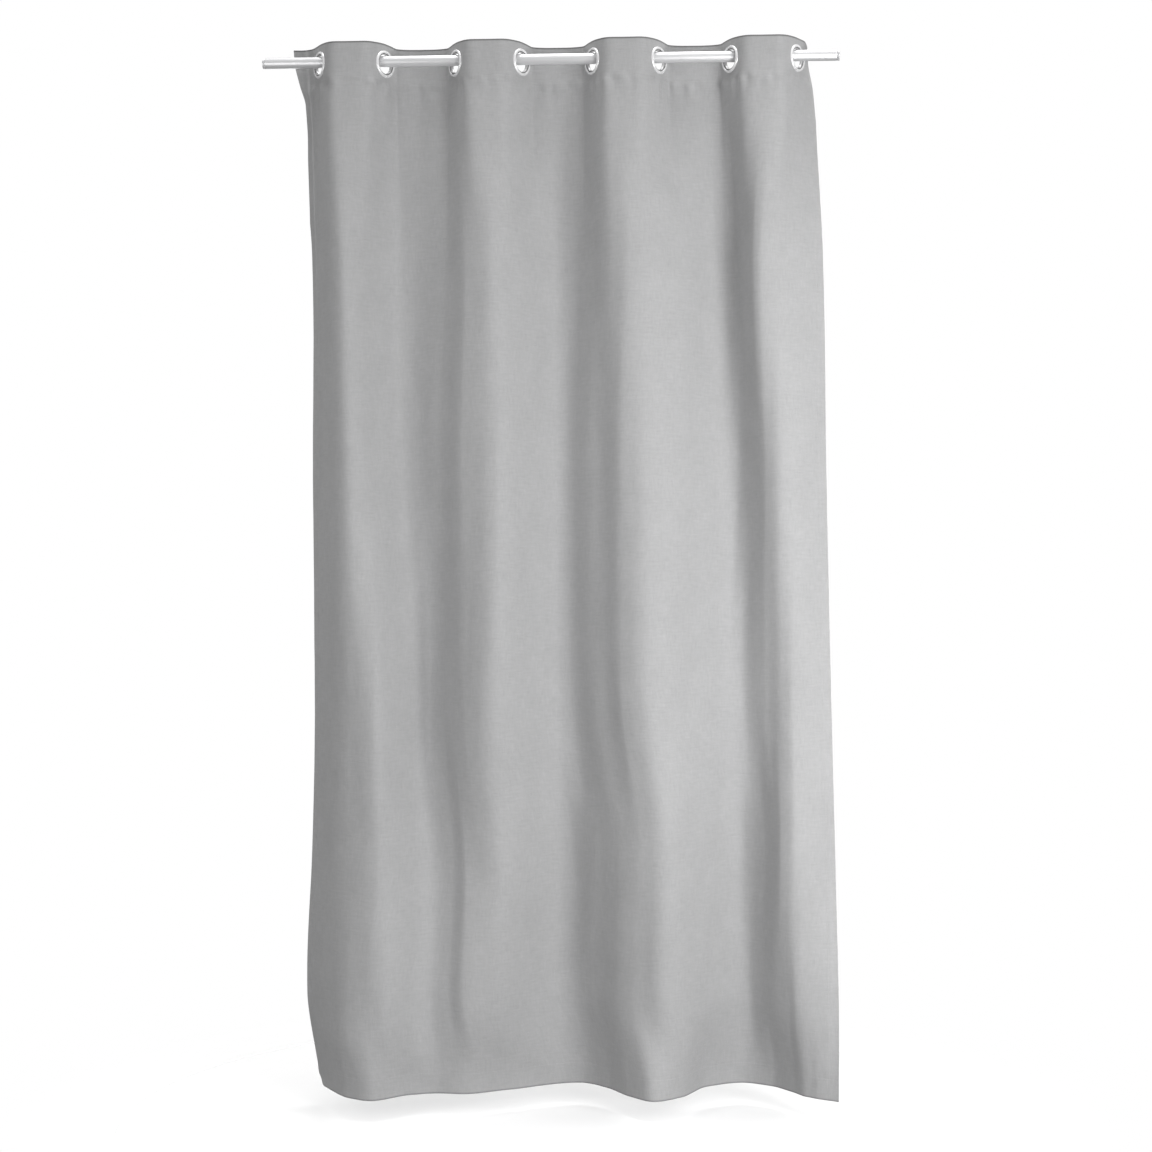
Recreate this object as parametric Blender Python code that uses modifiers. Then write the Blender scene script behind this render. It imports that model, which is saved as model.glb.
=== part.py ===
"""A grey room curtain panel with eight metal eyelets, hung in folds on a slim steel rod.

Metres, +Z up. The origin lies on the rod's axis at mid-length. +X runs to the right along the rod,
and the curtain's front faces -Y. The cloth is one flat sheet that is bent into folds: distances
"along" are measured in the flat cloth from its left edge, so its width stays the same at any height.
"""

import math

import bmesh
import bpy
import numpy as np

GAP = 0.0003  # between pieces that touch

ROD_BEYOND = 0.1138  # from an outer eyelet's centre to the end of the rod
ROD_RADIUS = 0.0125
ROD_WALL = 0.0012
CAP_WIDTH = 0.0055
CAP_SPIGOT = 0.018

EYELETS = 8
BORE_PLAY = 0.0029  # beside the rod, where it crosses the turned bore
BARREL_WALL = 0.0015
RIM_WIDTH = 0.010  # of the front ring, from the bore out
CROWN_WIDTH = 0.0063  # from the bore out to where the front ring stands highest
CROWN_HEIGHT = 0.0036
BACK_RING = 0.0018
BACK_RIM = 0.0012  # how much smaller the back ring is
ROD_PLAY = 0.0005  # between the rod's top and the bore above it
EYELET_TURN = math.radians(57)  # between the cloth at an eyelet and the rod

PANEL_WIDTH = 1.54  # flat, edge to edge
PANEL_HEIGHT = 2.40
PANEL_THICKNESS = 0.0012
SIDE_MARGIN = 0.080  # from a side edge to the nearest eyelet's centre
HEAD = 0.047  # from an eyelet's centre up to the top edge
HEADING_DEPTH = 0.088
TAPE_THICKNESS = 0.0006
TURNING_THICKNESS = 0.0010  # of the layers folded to the back
SIDE_HEM = 0.025
BOTTOM_HEM = 0.050
HOLE_PLAY = 0.0005  # between a barrel and the cloth's hole

EYELET_ROW_X = 0.018  # the middle of the row of eyelets
FRONT_BEND = 0.048  # cloth that eases from an eyelet's angle to a crest before the rod
BACK_BEND = 0.014  # the same, to a trough behind the rod
LEFT_BEND = 0.048  # the same, to the left edge
RIGHT_BEND = 0.200
SEAT_RIM = 0.001  # flat cloth beyond an eyelet's rim

# The folds further down, at shares of the drop to the hem: each crest, trough, bend and edge, from left to
# right, as a share of the heading's width and a distance from the rod's line, which fold_section scales.
FOLDS = {
    0.187: [
        (0.024, 0.050),
        (0.102, -0.050),
        (0.203, 0.030),
        (0.290, 0.000),
        (0.335, -0.045),
        (0.380, -0.060),
        (0.525, 0.045),
        (0.615, -0.038),
        (0.645, -0.048),
        (0.845, 0.052),
        (0.880, -0.028),
        (0.895, -0.035),
        (1.012, 0.032),
    ],
    0.403: [
        (0.027, 0.050),
        (0.117, -0.055),
        (0.223, 0.040),
        (0.275, 0.014),
        (0.328, -0.035),
        (0.392, -0.055),
        (0.517, 0.045),
        (0.572, 0.004),
        (0.590, -0.008),
        (0.632, -0.045),
        (0.670, -0.055),
        (0.848, 0.050),
        (0.903, -0.018),
        (0.930, -0.032),
        (1.019, 0.025),
    ],
    0.621: [
        (0.030, 0.050),
        (0.115, -0.045),
        (0.163, -0.062),
        (0.256, 0.040),
        (0.333, -0.030),
        (0.386, -0.052),
        (0.527, 0.050),
        (0.583, 0.000),
        (0.601, -0.014),
        (0.632, -0.043),
        (0.678, -0.060),
        (0.856, 0.050),
        (0.905, 0.012),
        (0.933, -0.014),
        (0.952, -0.022),
        (1.027, 0.008),
    ],
    0.767: [
        (0.025, 0.055),
        (0.112, -0.040),
        (0.170, -0.065),
        (0.262, 0.015),
        (0.305, 0.000),
        (0.334, -0.025),
        (0.392, -0.042),
        (0.527, 0.055),
        (0.580, 0.012),
        (0.630, -0.035),
        (0.670, -0.060),
        (0.705, -0.070),
        (0.860, 0.060),
        (0.899, 0.035),
        (0.928, -0.020),
        (0.955, -0.035),
        (1.033, -0.005),
    ],
    0.911: [
        (0.016, 0.060),
        (0.060, 0.000),
        (0.116, -0.065),
        (0.178, -0.088),
        (0.268, -0.022),
        (0.300, -0.030),
        (0.335, -0.048),
        (0.385, -0.036),
        (0.528, 0.078),
        (0.575, 0.045),
        (0.625, -0.015),
        (0.668, -0.045),
        (0.705, -0.058),
        (0.870, 0.085),
        (0.925, 0.020),
        (0.968, -0.020),
        (1.036, -0.030),
    ],
    1.0: [
        (0.040, 0.055),
        (0.072, 0.000),
        (0.116, -0.062),
        (0.164, -0.086),
        (0.229, -0.034),
        (0.285, -0.019),
        (0.325, -0.022),
        (0.410, 0.020),
        (0.546, 0.086),
        (0.600, 0.044),
        (0.645, -0.022),
        (0.690, -0.062),
        (0.742, -0.024),
        (0.791, 0.066),
        (0.862, 0.105),
        (0.916, 0.078),
        (0.946, 0.040),
        (0.975, -0.004),
        (1.033, -0.045),
    ],
}

TABLE_STEP = 0.001  # along the cloth
STRIP_STEPS = 6
DROP_STEPS = 10
RING_STEPS = 20
ROD_STEPS = 32

tape_back = PANEL_THICKNESS / 2 + GAP + TAPE_THICKNESS
facing_back = tape_back + GAP + TURNING_THICKNESS
barrel_reach = facing_back + GAP + BACK_RING  # behind the cloth's middle surface
tilt = math.pi / 2 - EYELET_TURN  # between an eyelet's axis and the rod
bore_radius = barrel_reach * math.tan(tilt) + ROD_RADIUS / math.cos(tilt) + BORE_PLAY
barrel_radius = bore_radius + BARREL_WALL
eyelet_radius = bore_radius + RIM_WIDTH
seat = eyelet_radius + SEAT_RIM


def hang():
    """How far an eyelet's centre hangs below the rod's axis, where the rod bears on the turned bore.

    Across the barrel the rod is an ellipse, which lies off centre by the most at the barrel's end.
    """
    free = bore_radius * math.cos(math.pi / RING_STEPS) - ROD_PLAY
    around = np.linspace(0.0, math.pi / 2, 91)
    sideways = barrel_reach * math.tan(tilt) + ROD_RADIUS / math.cos(tilt) * np.sin(around)
    return float(np.min(np.sqrt(free**2 - sideways**2) - ROD_RADIUS * np.cos(around)))


eyelet_drop = hang()
top_z = HEAD - eyelet_drop
bottom_z = top_z - PANEL_HEIGHT
heading_z = top_z - HEADING_DEPTH
pitch = (PANEL_WIDTH - 2 * SIDE_MARGIN) / (EYELETS - 1)
table = np.linspace(0.0, PANEL_WIDTH, round(PANEL_WIDTH / TABLE_STEP) + 1)


def eyelet_along(number):
    """An eyelet's place along the cloth, counted from 1 at the left."""
    return SIDE_MARGIN + (number - 1) * pitch


def eyelet_angle(number):
    """The cloth comes forward through odd eyelets and goes back through even ones."""
    return -EYELET_TURN if number % 2 else EYELET_TURN


def walk(angles):
    """The plan points of a cloth that runs at these angles, with its ends as far left as right of x = 0."""
    half = (angles[1:] + angles[:-1]) / 2
    steps = np.diff(table)
    x = np.concatenate([[0.0], np.cumsum(np.cos(half) * steps)])
    y = np.concatenate([[0.0], np.cumsum(np.sin(half) * steps)])
    return np.stack([x - x[-1] / 2, y - y.mean()])


def heading_section():
    """(angles, middle, span) of the heading: straight through eyelets, level at crests and troughs."""
    nearest = np.clip(np.round((table - SIDE_MARGIN) / pitch), 0, EYELETS - 1) + 1
    beyond = table - SIDE_MARGIN - (nearest - 1) * pitch
    odd = nearest % 2 == 1
    in_front = np.where(odd, beyond > 0, beyond < 0)
    bend = np.where(in_front, FRONT_BEND, BACK_BEND)
    bend = np.where(table < SIDE_MARGIN, LEFT_BEND, bend)
    bend = np.where(table > PANEL_WIDTH - SIDE_MARGIN, RIGHT_BEND, bend)
    eased = np.clip((np.abs(beyond) - seat) / bend, 0.0, 1.0)
    angles = np.where(odd, -1.0, 1.0) * EYELET_TURN * (0.5 + 0.5 * np.cos(math.pi * eased))
    points = walk(angles)
    ends = [np.interp(eyelet_along(k), table, points[0]) for k in (1, EYELETS)]
    rod_y = np.mean([np.interp(eyelet_along(k + 1), table, points[1]) for k in range(EYELETS)])
    return angles, np.array([EYELET_ROW_X - sum(ends) / 2, -rod_y]), 2 * points[0][-1]


def through(x, folds):
    """The smooth line through the folds' points that is level only at crests and troughs."""
    fold_x, fold_y = np.array(folds).T
    steps = np.diff(fold_x)
    slopes = np.diff(fold_y) / steps
    before, after = slopes[:-1], slopes[1:]
    same_way = before * after > 0
    level = np.where(same_way, 2 * before * after / np.where(same_way, before + after, 1.0), 0.0)
    level = np.concatenate([slopes[:1], level, slopes[-1:]])
    i = np.clip(np.searchsorted(fold_x, x, "right") - 1, 0, len(steps) - 1)
    t = (x - fold_x[i]) / steps[i]
    start = (2 * t**3 - 3 * t**2 + 1) * fold_y[i] + (t**3 - 2 * t**2 + t) * steps[i] * level[i]
    return start + (3 * t**2 - 2 * t**3) * fold_y[i + 1] + (t**3 - t**2) * steps[i] * level[i + 1]


def fold_section(folds):
    """(angles, middle, span) of smooth folds, deepened until they take the cloth's whole width."""
    folds = [(heading_left + share * heading_span, y) for share, y in folds]
    x = np.linspace(folds[0][0], folds[-1][0], 4 * len(table))
    y = through(x, folds)
    shallow, deep = 0.0, 4.0
    for _ in range(40):
        depth = (shallow + deep) / 2
        lengths = np.hypot(np.diff(x), depth * np.diff(y))
        if lengths.sum() < PANEL_WIDTH:
            shallow = depth
        else:
            deep = depth
    along = np.concatenate([[0.0], np.cumsum(lengths)]) * PANEL_WIDTH / lengths.sum()
    slopes = np.arctan2(depth * np.diff(y), np.diff(x))
    angles = np.interp(table, (along[1:] + along[:-1]) / 2, slopes)
    middle_y = np.interp(table, along, depth * y).mean()
    return angles, np.array([(x[0] + x[-1]) / 2, middle_y]), x[-1] - x[0]


heading = heading_section()
heading_span = heading[2]
heading_left = heading[1][0] - heading_span / 2
section_z = np.array([heading_z] + [share * bottom_z for share in FOLDS])
sections = [heading] + [fold_section(folds) for folds in FOLDS.values()]


def section_weights(z):
    """How much of each section the cloth has at this height, along a smooth curve through them all."""
    if z >= section_z[0]:
        return [1.0] + [0.0] * (len(sections) - 1)
    i = min(int(np.searchsorted(-section_z, -z, "right")) - 1, len(sections) - 2)
    every = np.eye(len(sections))
    rate = np.zeros_like(every)
    rate[1:-1] = (every[2:] - every[:-2]) / (section_z[2:] - section_z[:-2])[:, None]
    step = section_z[i + 1] - section_z[i]
    t = (z - section_z[i]) / step
    start = (2 * t**3 - 3 * t**2 + 1) * every[i] + (t**3 - 2 * t**2 + t) * step * rate[i]
    return start + (3 * t**2 - 2 * t**3) * every[i + 1] + (t**3 - t**2) * step * rate[i + 1]


def plan_at(z):
    """(points, angles) of the cloth's middle surface at this height, over the table.

    Between two sections the angles are mixed, and turned up or down until the cloth has the mixed span.
    """
    weights = section_weights(z)
    angles, middle, span = (sum(w * part for w, part in zip(weights, parts)) for parts in zip(*sections))
    low, high = 0.5, 2.0
    for _ in range(30):
        gain = (low + high) / 2
        if 2 * walk(gain * angles)[0][-1] > span:
            low = gain
        else:
            high = gain
    return walk(gain * angles) + middle[:, None], gain * angles


eyelet_x = [
    float(np.interp(eyelet_along(k + 1), table, plan_at(0.0)[0][0])) for k in range(EYELETS)
]
rod_length = eyelet_x[-1] - eyelet_x[0] + 2 * ROD_BEYOND  # over both caps


def collection(name):
    made = bpy.data.collections.new(name)
    bpy.context.scene.collection.children.link(made)
    return made


def material(name, colour, roughness, metallic=0.0):
    made = bpy.data.materials.new(name)
    made.use_nodes = True
    shader = made.node_tree.nodes["Principled BSDF"]
    shader.inputs["Base Color"].default_value = (*colour, 1.0)
    shader.inputs["Roughness"].default_value = roughness
    shader.inputs["Metallic"].default_value = metallic
    return made


def place(name, mesh, home, finish, parent=None):
    mesh.materials.clear()
    mesh.materials.append(finish)
    made = bpy.data.objects.new(name, mesh)
    made.parent = parent
    home.objects.link(made)
    return made


def profile_mesh(name, points, closed):
    """The outline that a Screw turns: radius along X, height along Z, down the outer side."""
    count = len(points)
    edges = [(i, (i + 1) % count) for i in range(count if closed else count - 1)]
    mesh = bpy.data.meshes.new(name)
    mesh.from_pydata([(radius, 0.0, height) for radius, height in points], edges, [])
    return mesh


def turn(obj, steps):
    screw = obj.modifiers.new("turn", "SCREW")
    screw.axis = "Z"
    screw.steps = screw.render_steps = steps
    screw.use_merge_vertices = True
    screw.merge_threshold = 0.00001
    screw.use_smooth_shade = True


def strip(name, along, heights, front, back, home, finish, carrier):
    """A closed strip of the folded cloth, between two distances behind its middle surface."""
    bm = bmesh.new()
    rows = []
    for z in heights:
        points, angles = plan_at(z)
        row = []
        for s in along:
            x, y = (np.interp(s, table, values) for values in points)
            angle = np.interp(s, table, angles)
            row.append(
                [
                    bm.verts.new((x - math.sin(angle) * d - carrier.location.x, y + math.cos(angle) * d, z))
                    for d in (front, back)
                ]
            )
        rows.append(row)
    for upper, lower in zip(rows, rows[1:]):
        for i in range(len(along) - 1):
            bm.faces.new([upper[i][0], lower[i][0], lower[i + 1][0], upper[i + 1][0]])
            bm.faces.new([upper[i][1], upper[i + 1][1], lower[i + 1][1], lower[i][1]])
        for end in (0, -1):
            bm.faces.new([upper[end][0], upper[end][1], lower[end][1], lower[end][0]])
    for row in (rows[0], rows[-1]):
        for left, right in zip(row, row[1:]):
            bm.faces.new([left[0], right[0], right[1], left[1]])
    bmesh.ops.recalc_face_normals(bm, faces=bm.faces)
    mesh = bpy.data.meshes.new(name)
    bm.to_mesh(mesh)
    bm.free()
    mesh.shade_smooth()
    mesh.set_sharp_from_angle(angle=math.radians(40))
    return place(name, mesh, home, finish, carrier)


def steps_between(start, end, count):
    return [start + (end - start) * i / count for i in range(count + 1)]


def strip_along(number):
    """Distances along a strip of the cloth, which ends half-way to the next eyelets or at a side edge.

    The strips at the sides start with the side hem, and an eyelet's flat seat has only its two ends.
    """
    centre = eyelet_along(number)
    first = [0.0, SIDE_HEM] if number == 1 else []
    last = [PANEL_WIDTH - SIDE_HEM, PANEL_WIDTH] if number == EYELETS else []
    start = SIDE_HEM + GAP if first else centre - pitch / 2 + GAP / 2
    end = PANEL_WIDTH - SIDE_HEM - GAP if last else centre + pitch / 2 - GAP / 2
    half = STRIP_STEPS // 2
    before = steps_between(start, centre - seat, half)
    return first + before + steps_between(centre + seat, end, half) + last


def punch(cloth, cutter):
    hole = cloth.modifiers.new("eyelet_hole", "BOOLEAN")
    hole.operation = "DIFFERENCE"
    hole.solver = "EXACT"
    hole.object = cutter


def hole_cutter(number, home, carrier):
    bm = bmesh.new()
    radius = barrel_radius + HOLE_PLAY
    length = 4 * facing_back
    bmesh.ops.create_cone(
        bm, cap_ends=True, segments=RING_STEPS, radius1=radius, radius2=radius, depth=length
    )
    mesh = bpy.data.meshes.new(f"hole_{number}")
    bm.to_mesh(mesh)
    bm.free()
    made = bpy.data.objects.new(mesh.name, mesh)
    made.parent = carrier
    made.location = (0.0, 0.0, -eyelet_drop)
    made.rotation_euler = (math.pi / 2, 0.0, eyelet_angle(number))
    made.hide_render = True
    made.display_type = "WIRE"
    home.objects.link(made)
    return made


def quarter(start, end, count, outward_first):
    """Points on a quarter of an ellipse between two corners, without the first."""
    (r0, h0), (r1, h1) = start, end
    points = []
    for i in range(1, count + 1):
        turned = math.pi / 2 * i / count
        far, near = math.sin(turned), 1 - math.cos(turned)
        share_r, share_h = (far, near) if outward_first else (near, far)
        points.append((r0 + (r1 - r0) * share_r, h0 + (h1 - h0) * share_h))
    return points


def front_ring_profile():
    front = PANEL_THICKNESS / 2 + GAP
    crown = (bore_radius + CROWN_WIDTH, front + CROWN_HEIGHT)
    throat = (bore_radius, front)
    flare = quarter(crown, throat, 3, True)
    return (
        [crown]
        + quarter(crown, (eyelet_radius, front), 3, True)
        + [(barrel_radius, front), (barrel_radius, -barrel_reach), (bore_radius, -barrel_reach)]
        + flare[::-1]
    )


def back_ring_profile():
    top = -(facing_back + GAP)
    inner, outer = barrel_radius + GAP, eyelet_radius - BACK_RIM
    return [
        (inner, top),
        (outer, top),
        (outer, top - BACK_RING / 2),
        (outer - BACK_RIM, top - BACK_RING),
        (inner, top - BACK_RING),
    ]


def build_rod(home):
    steel = material("brushed_steel", (0.62, 0.62, 0.62), 0.32, 1.0)
    capping = material("rod_cap", (0.55, 0.55, 0.55), 0.35, 1.0)
    half = rod_length / 2 - CAP_WIDTH - GAP
    inner = ROD_RADIUS - ROD_WALL
    outline = [(ROD_RADIUS, half), (ROD_RADIUS, -half), (inner, -half), (inner, half)]
    tube = place("rod_tube", profile_mesh("rod_tube", outline, True), home, steel)
    tube.rotation_euler = (0.0, math.pi / 2, 0.0)
    turn(tube, ROD_STEPS)
    spigot = inner - GAP
    outline = [
        (0.0, CAP_WIDTH),
        (ROD_RADIUS, CAP_WIDTH),
        (ROD_RADIUS, 0.0),
        (spigot, 0.0),
        (spigot, -CAP_SPIGOT),
        (0.0, -CAP_SPIGOT),
    ]
    mesh = profile_mesh("rod_cap", outline, False)
    for side, name in ((-1, "rod_cap_left"), (1, "rod_cap_right")):
        cap = place(name, mesh, home, capping)
        cap.location = (side * (rod_length / 2 - CAP_WIDTH), 0.0, 0.0)
        cap.rotation_euler = (0.0, side * math.pi / 2, 0.0)
        turn(cap, ROD_STEPS)


def build_eyelets(home, carriers):
    nickel = material("polished_nickel", (0.78, 0.78, 0.78), 0.12, 1.0)
    front = profile_mesh("eyelet_front", front_ring_profile(), True)
    back = profile_mesh("eyelet_back", back_ring_profile(), True)
    for number, carrier in carriers.items():
        for name, mesh in (("eyelet_front", front), ("eyelet_back", back)):
            ring = place(f"{name}_{number}", mesh, home, nickel, carrier)
            ring.location = (0.0, 0.0, -eyelet_drop)
            ring.rotation_euler = (math.pi / 2, 0.0, eyelet_angle(number))
            turn(ring, RING_STEPS)


def build_cloth(home, cutters, carriers):
    linen = material("grey_linen", (0.40, 0.40, 0.40), 0.9)
    stiff = material("heading_tape", (0.75, 0.75, 0.74), 0.8)
    skin = PANEL_THICKNESS / 2
    turning = (skin + GAP, skin + GAP + TURNING_THICKNESS)
    drop = steps_between(heading_z, bottom_z + BOTTOM_HEM, DROP_STEPS)
    hem_ends = [bottom_z + BOTTOM_HEM, bottom_z]
    for number, carrier in carriers.items():
        along = strip_along(number)
        cutter = hole_cutter(number, cutters, carrier)
        for name, front, back, finish in (
            ("heading_tape", skin + GAP, tape_back, stiff),
            ("heading_facing", tape_back + GAP, facing_back, linen),
        ):
            layer = strip(f"{name}_{number}", along, [top_z, heading_z], front, back, home, finish, carrier)
            punch(layer, cutter)
        heights = [top_z] + drop + [bottom_z]
        cloth = strip(f"panel_{number}", along, heights, -skin, skin, home, linen, carrier)
        punch(cloth, cutter)
        inner = [s for s in along if SIDE_HEM < s < PANEL_WIDTH - SIDE_HEM]
        strip(f"bottom_hem_{number}", inner, hem_ends, *turning, home, linen, carrier)
    below = [heading_z - GAP] + drop[1:] + [bottom_z]
    left = strip_along(1)[:2]
    right = strip_along(EYELETS)[-2:]
    strip("side_hem_left", left, below, *turning, home, linen, carriers[1])
    strip("side_hem_right", right, below, *turning, home, linen, carriers[EYELETS])


def build_carriers(home):
    """An empty on the rod's axis for each eyelet, which carries the eyelet and its strip of cloth."""
    carriers = {}
    for number, x in enumerate(eyelet_x, 1):
        carrier = bpy.data.objects.new(f"eyelet_{number}_slide", None)
        carrier.location = (x, 0.0, 0.0)
        carrier.empty_display_size = 0.05
        home.objects.link(carrier)
        carriers[number] = carrier
    return carriers


def main():
    for old in list(bpy.data.objects):
        bpy.data.objects.remove(old, do_unlink=True)
    home = collection("curtain_panel")
    cutters = collection("cutters")
    carriers = build_carriers(home)
    build_rod(home)
    build_eyelets(home, carriers)
    build_cloth(home, cutters, carriers)


main()
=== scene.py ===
"""The looks of the eyelet curtain panel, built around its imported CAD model.

Metres, in the CAD model's frame: the rod runs along X with its middle at the origin, Z is up, and the
curtain's front faces -Y. The cloth is one flat sheet bent into folds. A place on it is given by
"along", from its left edge, and "down", from its top edge, both measured in the flat cloth.
"""

import math

import bpy
import numpy as np
from mathutils import Matrix, Vector


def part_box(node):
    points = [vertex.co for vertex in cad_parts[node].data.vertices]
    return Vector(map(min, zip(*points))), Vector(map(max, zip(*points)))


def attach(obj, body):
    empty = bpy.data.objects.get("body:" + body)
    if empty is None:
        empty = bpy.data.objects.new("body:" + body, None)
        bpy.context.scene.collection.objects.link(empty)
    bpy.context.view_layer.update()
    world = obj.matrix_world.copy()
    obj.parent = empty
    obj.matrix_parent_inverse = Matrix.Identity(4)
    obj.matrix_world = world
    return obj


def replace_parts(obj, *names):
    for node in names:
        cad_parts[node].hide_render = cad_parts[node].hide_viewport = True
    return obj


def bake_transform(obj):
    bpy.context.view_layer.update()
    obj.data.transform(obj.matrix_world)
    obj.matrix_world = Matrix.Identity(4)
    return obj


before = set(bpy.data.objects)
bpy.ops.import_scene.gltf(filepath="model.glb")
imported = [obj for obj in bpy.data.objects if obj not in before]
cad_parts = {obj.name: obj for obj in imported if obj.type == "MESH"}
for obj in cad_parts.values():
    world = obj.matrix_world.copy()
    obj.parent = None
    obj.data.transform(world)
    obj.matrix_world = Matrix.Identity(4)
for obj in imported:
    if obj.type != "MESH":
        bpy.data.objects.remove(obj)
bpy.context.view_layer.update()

# The cloth, as in part.py
EYELETS = 8
PANEL_WIDTH = 1.54
PANEL_HEIGHT = 2.40
SIDE_MARGIN = 0.080
HEADING_DEPTH = 0.088
SIDE_HEM = 0.025
BOTTOM_HEM = 0.050
SKIN = 0.0006  # half of the cloth's thickness
TAPE_AND_FACING = 0.0022  # behind the cloth in the heading
TURNING = 0.0013  # behind it in the other hems
EYELET_TURN = math.radians(57)  # between the cloth at an eyelet and the rod
EYELET_ROW_X = 0.018  # the middle of the row of eyelets
FRONT_BEND = 0.048  # cloth that eases from an eyelet's angle to a crest before the rod
BACK_BEND = 0.014  # the same, to a trough behind the rod
LEFT_BEND = 0.048  # the same, to the left edge
RIGHT_BEND = 0.200
SEAT_RIM = 0.001  # flat cloth beyond an eyelet's rim

# The folds further down, at shares of the drop to the hem: each crest, trough, bend and edge, from left to
# right, as a share of the heading's width and a distance from the rod's line, which fold_section scales.
FOLDS = {
    0.187: [
        (0.024, 0.050),
        (0.102, -0.050),
        (0.203, 0.030),
        (0.290, 0.000),
        (0.335, -0.045),
        (0.380, -0.060),
        (0.525, 0.045),
        (0.615, -0.038),
        (0.645, -0.048),
        (0.845, 0.052),
        (0.880, -0.028),
        (0.895, -0.035),
        (1.012, 0.032),
    ],
    0.403: [
        (0.027, 0.050),
        (0.117, -0.055),
        (0.223, 0.040),
        (0.275, 0.014),
        (0.328, -0.035),
        (0.392, -0.055),
        (0.517, 0.045),
        (0.572, 0.004),
        (0.590, -0.008),
        (0.632, -0.045),
        (0.670, -0.055),
        (0.848, 0.050),
        (0.903, -0.018),
        (0.930, -0.032),
        (1.019, 0.025),
    ],
    0.621: [
        (0.030, 0.050),
        (0.115, -0.045),
        (0.163, -0.062),
        (0.256, 0.040),
        (0.333, -0.030),
        (0.386, -0.052),
        (0.527, 0.050),
        (0.583, 0.000),
        (0.601, -0.014),
        (0.632, -0.043),
        (0.678, -0.060),
        (0.856, 0.050),
        (0.905, 0.012),
        (0.933, -0.014),
        (0.952, -0.022),
        (1.027, 0.008),
    ],
    0.767: [
        (0.025, 0.055),
        (0.112, -0.040),
        (0.170, -0.065),
        (0.262, 0.015),
        (0.305, 0.000),
        (0.334, -0.025),
        (0.392, -0.042),
        (0.527, 0.055),
        (0.580, 0.012),
        (0.630, -0.035),
        (0.670, -0.060),
        (0.705, -0.070),
        (0.860, 0.060),
        (0.899, 0.035),
        (0.928, -0.020),
        (0.955, -0.035),
        (1.033, -0.005),
    ],
    0.911: [
        (0.016, 0.060),
        (0.060, 0.000),
        (0.116, -0.065),
        (0.178, -0.088),
        (0.268, -0.022),
        (0.300, -0.030),
        (0.335, -0.048),
        (0.385, -0.036),
        (0.528, 0.078),
        (0.575, 0.045),
        (0.625, -0.015),
        (0.668, -0.045),
        (0.705, -0.058),
        (0.870, 0.085),
        (0.925, 0.020),
        (0.968, -0.020),
        (1.036, -0.030),
    ],
    1.0: [
        (0.040, 0.055),
        (0.072, 0.000),
        (0.116, -0.062),
        (0.164, -0.086),
        (0.229, -0.034),
        (0.285, -0.019),
        (0.325, -0.022),
        (0.410, 0.020),
        (0.546, 0.086),
        (0.600, 0.044),
        (0.645, -0.022),
        (0.690, -0.062),
        (0.742, -0.024),
        (0.791, 0.066),
        (0.862, 0.105),
        (0.916, 0.078),
        (0.946, 0.040),
        (0.975, -0.004),
        (1.033, -0.045),
    ],
}

# The eyelets and the rod, as in part.py
BARREL_WALL = 0.0015
RIM_WIDTH = 0.010  # of the front ring, from the bore out
CROWN_WIDTH = 0.0063  # from the bore out to where the front ring stands highest
CROWN_HEIGHT = 0.0036
BACK_RING = 0.0018
BACK_RIM = 0.0012  # how much smaller the back ring is
ROD_WALL = 0.0012
CAP_WIDTH = 0.0055
CAP_SPIGOT = 0.018

# The front ring's groove, between its dome and the collar inside it
GROOVE_INSET = 0.0033  # from the bore out to the groove's outer side
GROOVE_WIDTH = 0.0011
GROOVE_FLOOR = 0.0006  # above the ring's bed
COLLAR_RISE = 0.0008  # above the groove's floor
THROAT_RISE = 0.0003  # from the groove's floor to where the dome starts to rise
LIP = 0.0009  # of the rolled end of the barrel
RING_BED = 0.0002  # how deep the front ring's rim sits in the cloth
RING_SINK = 0.0004  # of its underside below that
BACK_BED = 0.0001  # the same at the back ring
GAP = 0.0003  # between pieces that touch
ROD_FILLET = 0.0005
CAP_FILLET = 0.0008
CAP_CENTRE = 0.0005  # the radius at which a cap's turned outline starts and ends

DROOP = 0.0055  # of the top edge between two eyelets
DROOP_REACH = 0.20  # down the cloth
# How far a side edge is drawn in, at distances below the top edge, and how far back that takes it
LEFT_TUCK = [
    (0.0, -0.012),
    (0.035, -0.009),
    (0.08, 0.001),
    (0.125, 0.013),
    (0.18, 0.014),
    (0.26, 0.009),
    (0.40, 0.0),
]
RIGHT_TUCK = [(0.0, 0.018), (0.04, 0.016), (0.10, 0.006), (0.18, 0.0)]
TUCK_BACK = 0.6
CORNER = 0.034  # of the hem at the left, which is rounded
CORNER_IN = 0.20 * CORNER
CORNER_UP = 0.45 * CORNER

# Each kind of wrinkle: its height, width and length, and the seed of its noise
WAVES = (0.0022, 0.075, 0.55, 1)
RIPPLES = (0.0009, 0.030, 0.22, 2)
FINE_CREASES = (0.00025, 0.012, 0.05, 3)
HEADING_PUCKERS = (0.0055, 0.012, 0.08, 4)
SIDE_PUCKERS = (0.0006, 0.020, 0.022, 5)
HEM_PUCKERS = (0.0006, 0.022, 0.020, 6)
CORNER_CREASES = (0.0013, 0.012, 0.13, 8)  # near the hem at the right
HEM_RIDGE = 0.0014  # how far the left side hem's inner edge shows through

HEM_EDGE = 0.0006  # half the width over which a hem's thickness begins
STITCH_INSIDE = 0.003  # from a hem's inner edge to its stitches
STITCH_PITCH = 0.004
STITCH_LENGTH = 0.0032
THREAD_RADIUS = 0.00028

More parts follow.
